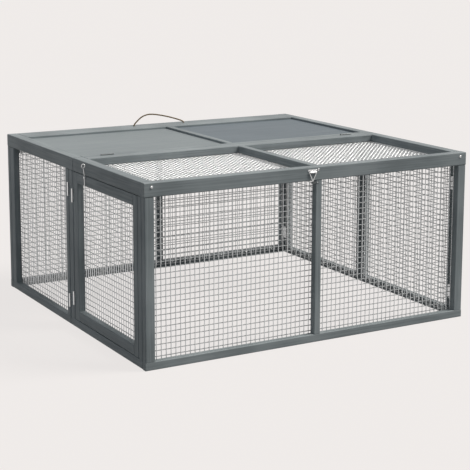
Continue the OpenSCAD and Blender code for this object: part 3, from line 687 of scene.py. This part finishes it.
def staples_of(node, across, up, away):
    corner, width, height = panel_frame(node, across, up, away)
    wire = WIRE_D * MM
    places = []
    for edge in STAPLED[node]:
        level = edge in "BT"
        length, other = (width, height) if level else (height, width)
        cell = (length - wire) / round(length / ((CELL_W if level else CELL_H) * MM))
        for at in even_steps(length, STAPLE_FIRST, STAPLE_SPACING):
            at = wire / 2 + round((at - wire / 2) / cell) * cell
            side = STAPLE_INSET if edge in "BL" else other - STAPLE_INSET
            u, v = (at, side) if level else (side, at)
            top = (wire if level else wire * (1 + WELD)) + STAPLE_SEAT
            places.append((corner + across * u + up * v + away * top,
                           turn_for(across if level else up, away)))
    return places


def make_staples():
    sizes = (("Crown", "Float"), ("Leg", "Float"), ("Wire radius", "Float"))
    tree = standing_tree("staples", sizes, staple_shape)
    for body in sorted({panel[1] for panel in PANELS}):
        places = [place for node, of, across, up, away in PANELS if of == body
                  for place in staples_of(node, across, up, away)]
        piece = run_tree(f"staples_{body}", tree,
                         {"Crown": STAPLE_CROWN, "Leg": -STAPLE_LEG, "Wire radius": STAPLE_R},
                         points_with_turns(f"staples_{body}", places))
        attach(piece, body)


# The screw heads' radii in mm
LID_SCREW_R, LATCH_SCREW_R, CATCH_SCREW_R, LEAF_SCREW_R = 3.6, 1.9, 1.6, 2.3
LID_SCREW_INSET = 3.7 * MM    # from the outer edge of a lid screw's node to its middle
PLATE_T = 1.2 * MM            # the latch's plate and the catch's strip
LATCH_SCREW_INSET, LATCH_SCREW_DROP = 2.8 * MM, 2.5 * MM
CATCH_SCREW_INSET = 4 * MM
# The hinge leaves on the inner faces of the end walls: their faces, middles and heights, and how far
# above and below a leaf's middle its screws are
LEAF_FACE_X, LEAF_MIDDLE_Y, LEAF_HEIGHTS = 503.8 * MM, 466.9 * MM, (74 * MM, 404.5 * MM)
LEAF_SCREW_RISE = 12 * MM


def make_screws():
    """Heads on the lid's long screws, the latch, its catch, and the leaves inside the end walls."""
    pattern = screw_head()
    tree = standing_tree("screw heads", (("Head", "Object"), ("Head radius", "Float")), screw_shape)
    front = -Y
    sets = {}
    low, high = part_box("lid_screws")
    sets[("lid_rail", "lid", LID_SCREW_R)] = [
        (Vector((x, low.y, (low.z + high.z) / 2)), turn_for(X, front))
        for x in (low.x + LID_SCREW_INSET, high.x - LID_SCREW_INSET)]
    low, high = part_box("latch_plate")
    plate_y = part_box("lid_front_rail")[0].y - PLATE_T
    sets[("latch", "lid", LATCH_SCREW_R)] = [
        (Vector((x, plate_y, high.z - LATCH_SCREW_DROP)), turn_for(X, front))
        for x in (low.x + LATCH_SCREW_INSET, high.x - LATCH_SCREW_INSET)]
    low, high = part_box("latch_catch")
    strip_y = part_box("front_stiles")[0].y - PLATE_T
    sets[("catch", "front_wall", CATCH_SCREW_R)] = [
        (Vector((high.x - CATCH_SCREW_INSET, strip_y, (low.z + high.z) / 2)), turn_for(X, front))]
    for body in ("left_rear", "left_front", "right_rear", "right_front"):
        side = 1 if body.startswith("left") else -1
        depth = 1 if body.endswith("rear") else -1
        sets[("leaf", body, LEAF_SCREW_R)] = [
            (Vector((side * -LEAF_FACE_X, depth * LEAF_MIDDLE_Y, z + rise)),
             turn_for(Y, Vector((side, 0, 0))))
            for z in LEAF_HEIGHTS for rise in (-LEAF_SCREW_RISE, LEAF_SCREW_RISE)]
    for (kind, body, radius), places in sets.items():
        name = f"screws_{kind}_{body}"
        piece = run_tree(name, tree, {"Head": pattern, "Head radius": radius * MM},
                         points_with_turns(name, places))
        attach(piece, body)
    bpy.data.objects.remove(pattern)


# The latch's pin, in mm: how far it stands right of the plate and out from the rail, where it starts and
# ends against the plate's top edge, and its radii from the foot to the top of its ball
PIN_ASIDE, PIN_OUT, PIN_FOOT, PIN_TOP, PIN_SIDES = 3.2, 2.4, -6, 3, 14
PIN_RADII = (0.2, 1.2, 1.6, 1.6, 1.6, 1.6, 1.6, 1.8, 2.3, 2.4, 1.8, 0.2)


def make_latch_pin():
    """The round pin with a ball end that stands at the right of the latch's plate."""
    plate_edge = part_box("latch_plate")[1] / MM
    rail_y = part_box("lid_front_rail")[0].y / MM
    heights = np.linspace(plate_edge.z + PIN_FOOT, plate_edge.z + PIN_TOP, len(PIN_RADII))
    line = np.array([(plate_edge.x + PIN_ASIDE, rail_y - PIN_OUT, z) for z in heights])
    points, faces, _ = tube(line, np.array(PIN_RADII), PIN_SIDES)
    pin = mesh_object("latch_pin", points * MM, faces)
    pin.data.materials.append(ZINC)
    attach(pin, "lid")


make_staples()
make_screws()
make_latch_pin()


# ---------------------------------------------------------------- finishes of the timber and fittings

def dress_nodes():
    """Every CAD node gets the finish of its slot, with the grain of a timber along its length."""
    for body, nodes in frame["record"]["behaviour"]["bodies"].items():
        for name in nodes:
            obj = frame["nodes"][name]
            low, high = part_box(name)
            if "panel" in name:
                finish = PANEL[name.split("_")[-1]]
            elif "mesh" in name:
                finish = WIRE_ON.get(body, WALL_WIRE)
            elif "rope" in name:
                finish = JUTE
            elif "stile" in name or "post" in name:
                finish = TIMBER["z"]
            elif "side_rail" in name or "centre_bar" in name or (high - low).y > (high - low).x:
                finish = TIMBER["y"]
            else:
                finish = TIMBER["x"]
            for metal in ("hinge", "leaves", "latch", "hook", "eye", "screws"):
                if metal in name:
                    finish = DULL_ZINC if "lid_hinge" in name or "catch" in name else ZINC
            for slot in obj.material_slots:
                slot.material = finish
            if not obj.material_slots:
                obj.data.materials.append(finish)


dress_nodes()
